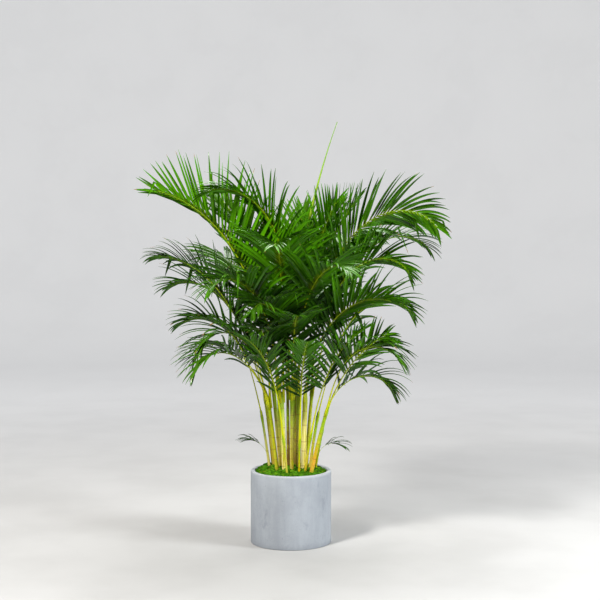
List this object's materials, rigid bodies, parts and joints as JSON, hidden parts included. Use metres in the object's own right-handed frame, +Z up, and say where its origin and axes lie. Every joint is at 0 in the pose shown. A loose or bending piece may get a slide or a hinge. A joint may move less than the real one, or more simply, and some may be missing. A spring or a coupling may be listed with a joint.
{
  "type": "potted palm",
  "caption": "Potted clumping palm: slender canes with arching feather fronds, in moss-topped soil inside a plain round concrete cylinder planter.",
  "frame": {"origin": "centre of the planter's flat foot, on the floor", "axes": "+Z up the planter's axis, +X towards the palm's right as seen from its front, -Y towards the front, the side its fullest fronds are seen from"},
  "size_m": [1.5137, 1.3572, 2.077],
  "materials": {
    "concrete": "pale blue-grey cast concrete, fine mottling and pin holes, matt",
    "black_plastic": "black nursery pot, matt",
    "potting_soil": "dark peat potting soil bound by roots",
    "moss": "deep green preserved moss with yellow-brown flecks",
    "cane": "waxy yellow-green ringed cane, cream and orange near the foot",
    "spear": "waxy light green unopened leaf",
    "frond": "glossy green leaflets on a yellow-green stalk"
  },
  "bodies": {
    "root": {"planter": "concrete", "nursery_pot": "black_plastic", "root_ball": "potting_soil", "moss_top": "moss", "cane_a": "cane", "cane_b": "cane", "cane_c": "cane", "cane_d": "cane", "cane_e": "cane", "cane_f": "cane", "cane_g": "cane", "cane_h": "cane", "cane_i": "cane", "cane_j": "cane", "cane_k": "cane", "cane_l": "cane", "cane_m": "cane", "cane_n": "cane", "cane_o": "cane", "cane_p": "cane", "cane_q": "cane", "cane_r": "cane", "cane_s": "cane", "spear_leaf": "spear", "frond_topLeft": "frond", "frond_midLeft": "frond", "frond_darkLeft": "frond", "frond_lightLeft": "frond", "frond_lowLeft": "frond", "frond_hangLeft": "frond", "frond_dropLeft": "frond", "frond_skirtLeft": "frond", "frond_frontLeft": "frond", "frond_backLeft": "frond", "frond_upLeft": "frond", "frond_upBack": "frond", "frond_upRight": "frond", "frond_upMid": "frond", "frond_upMidBack": "frond", "frond_topRight": "frond", "frond_topRightBack": "frond", "frond_midRight": "frond", "frond_curlRight": "frond", "frond_lowRight": "frond", "frond_edgeRight": "frond", "frond_dropRight": "frond", "frond_innerRight": "frond", "frond_frontMid": "frond", "frond_frontRight": "frond", "frond_frontLow": "frond", "frond_faceLow": "frond", "frond_lowInnerLeft": "frond", "frond_lowInnerRight": "frond", "frond_youngLeft": "frond", "frond_youngRight": "frond", "frond_backMid": "frond", "frond_backRight": "frond", "frond_backLow": "frond", "frond_backLeftLow": "frond", "frond_backRightLow": "frond"}
  },
  "joints": []
}
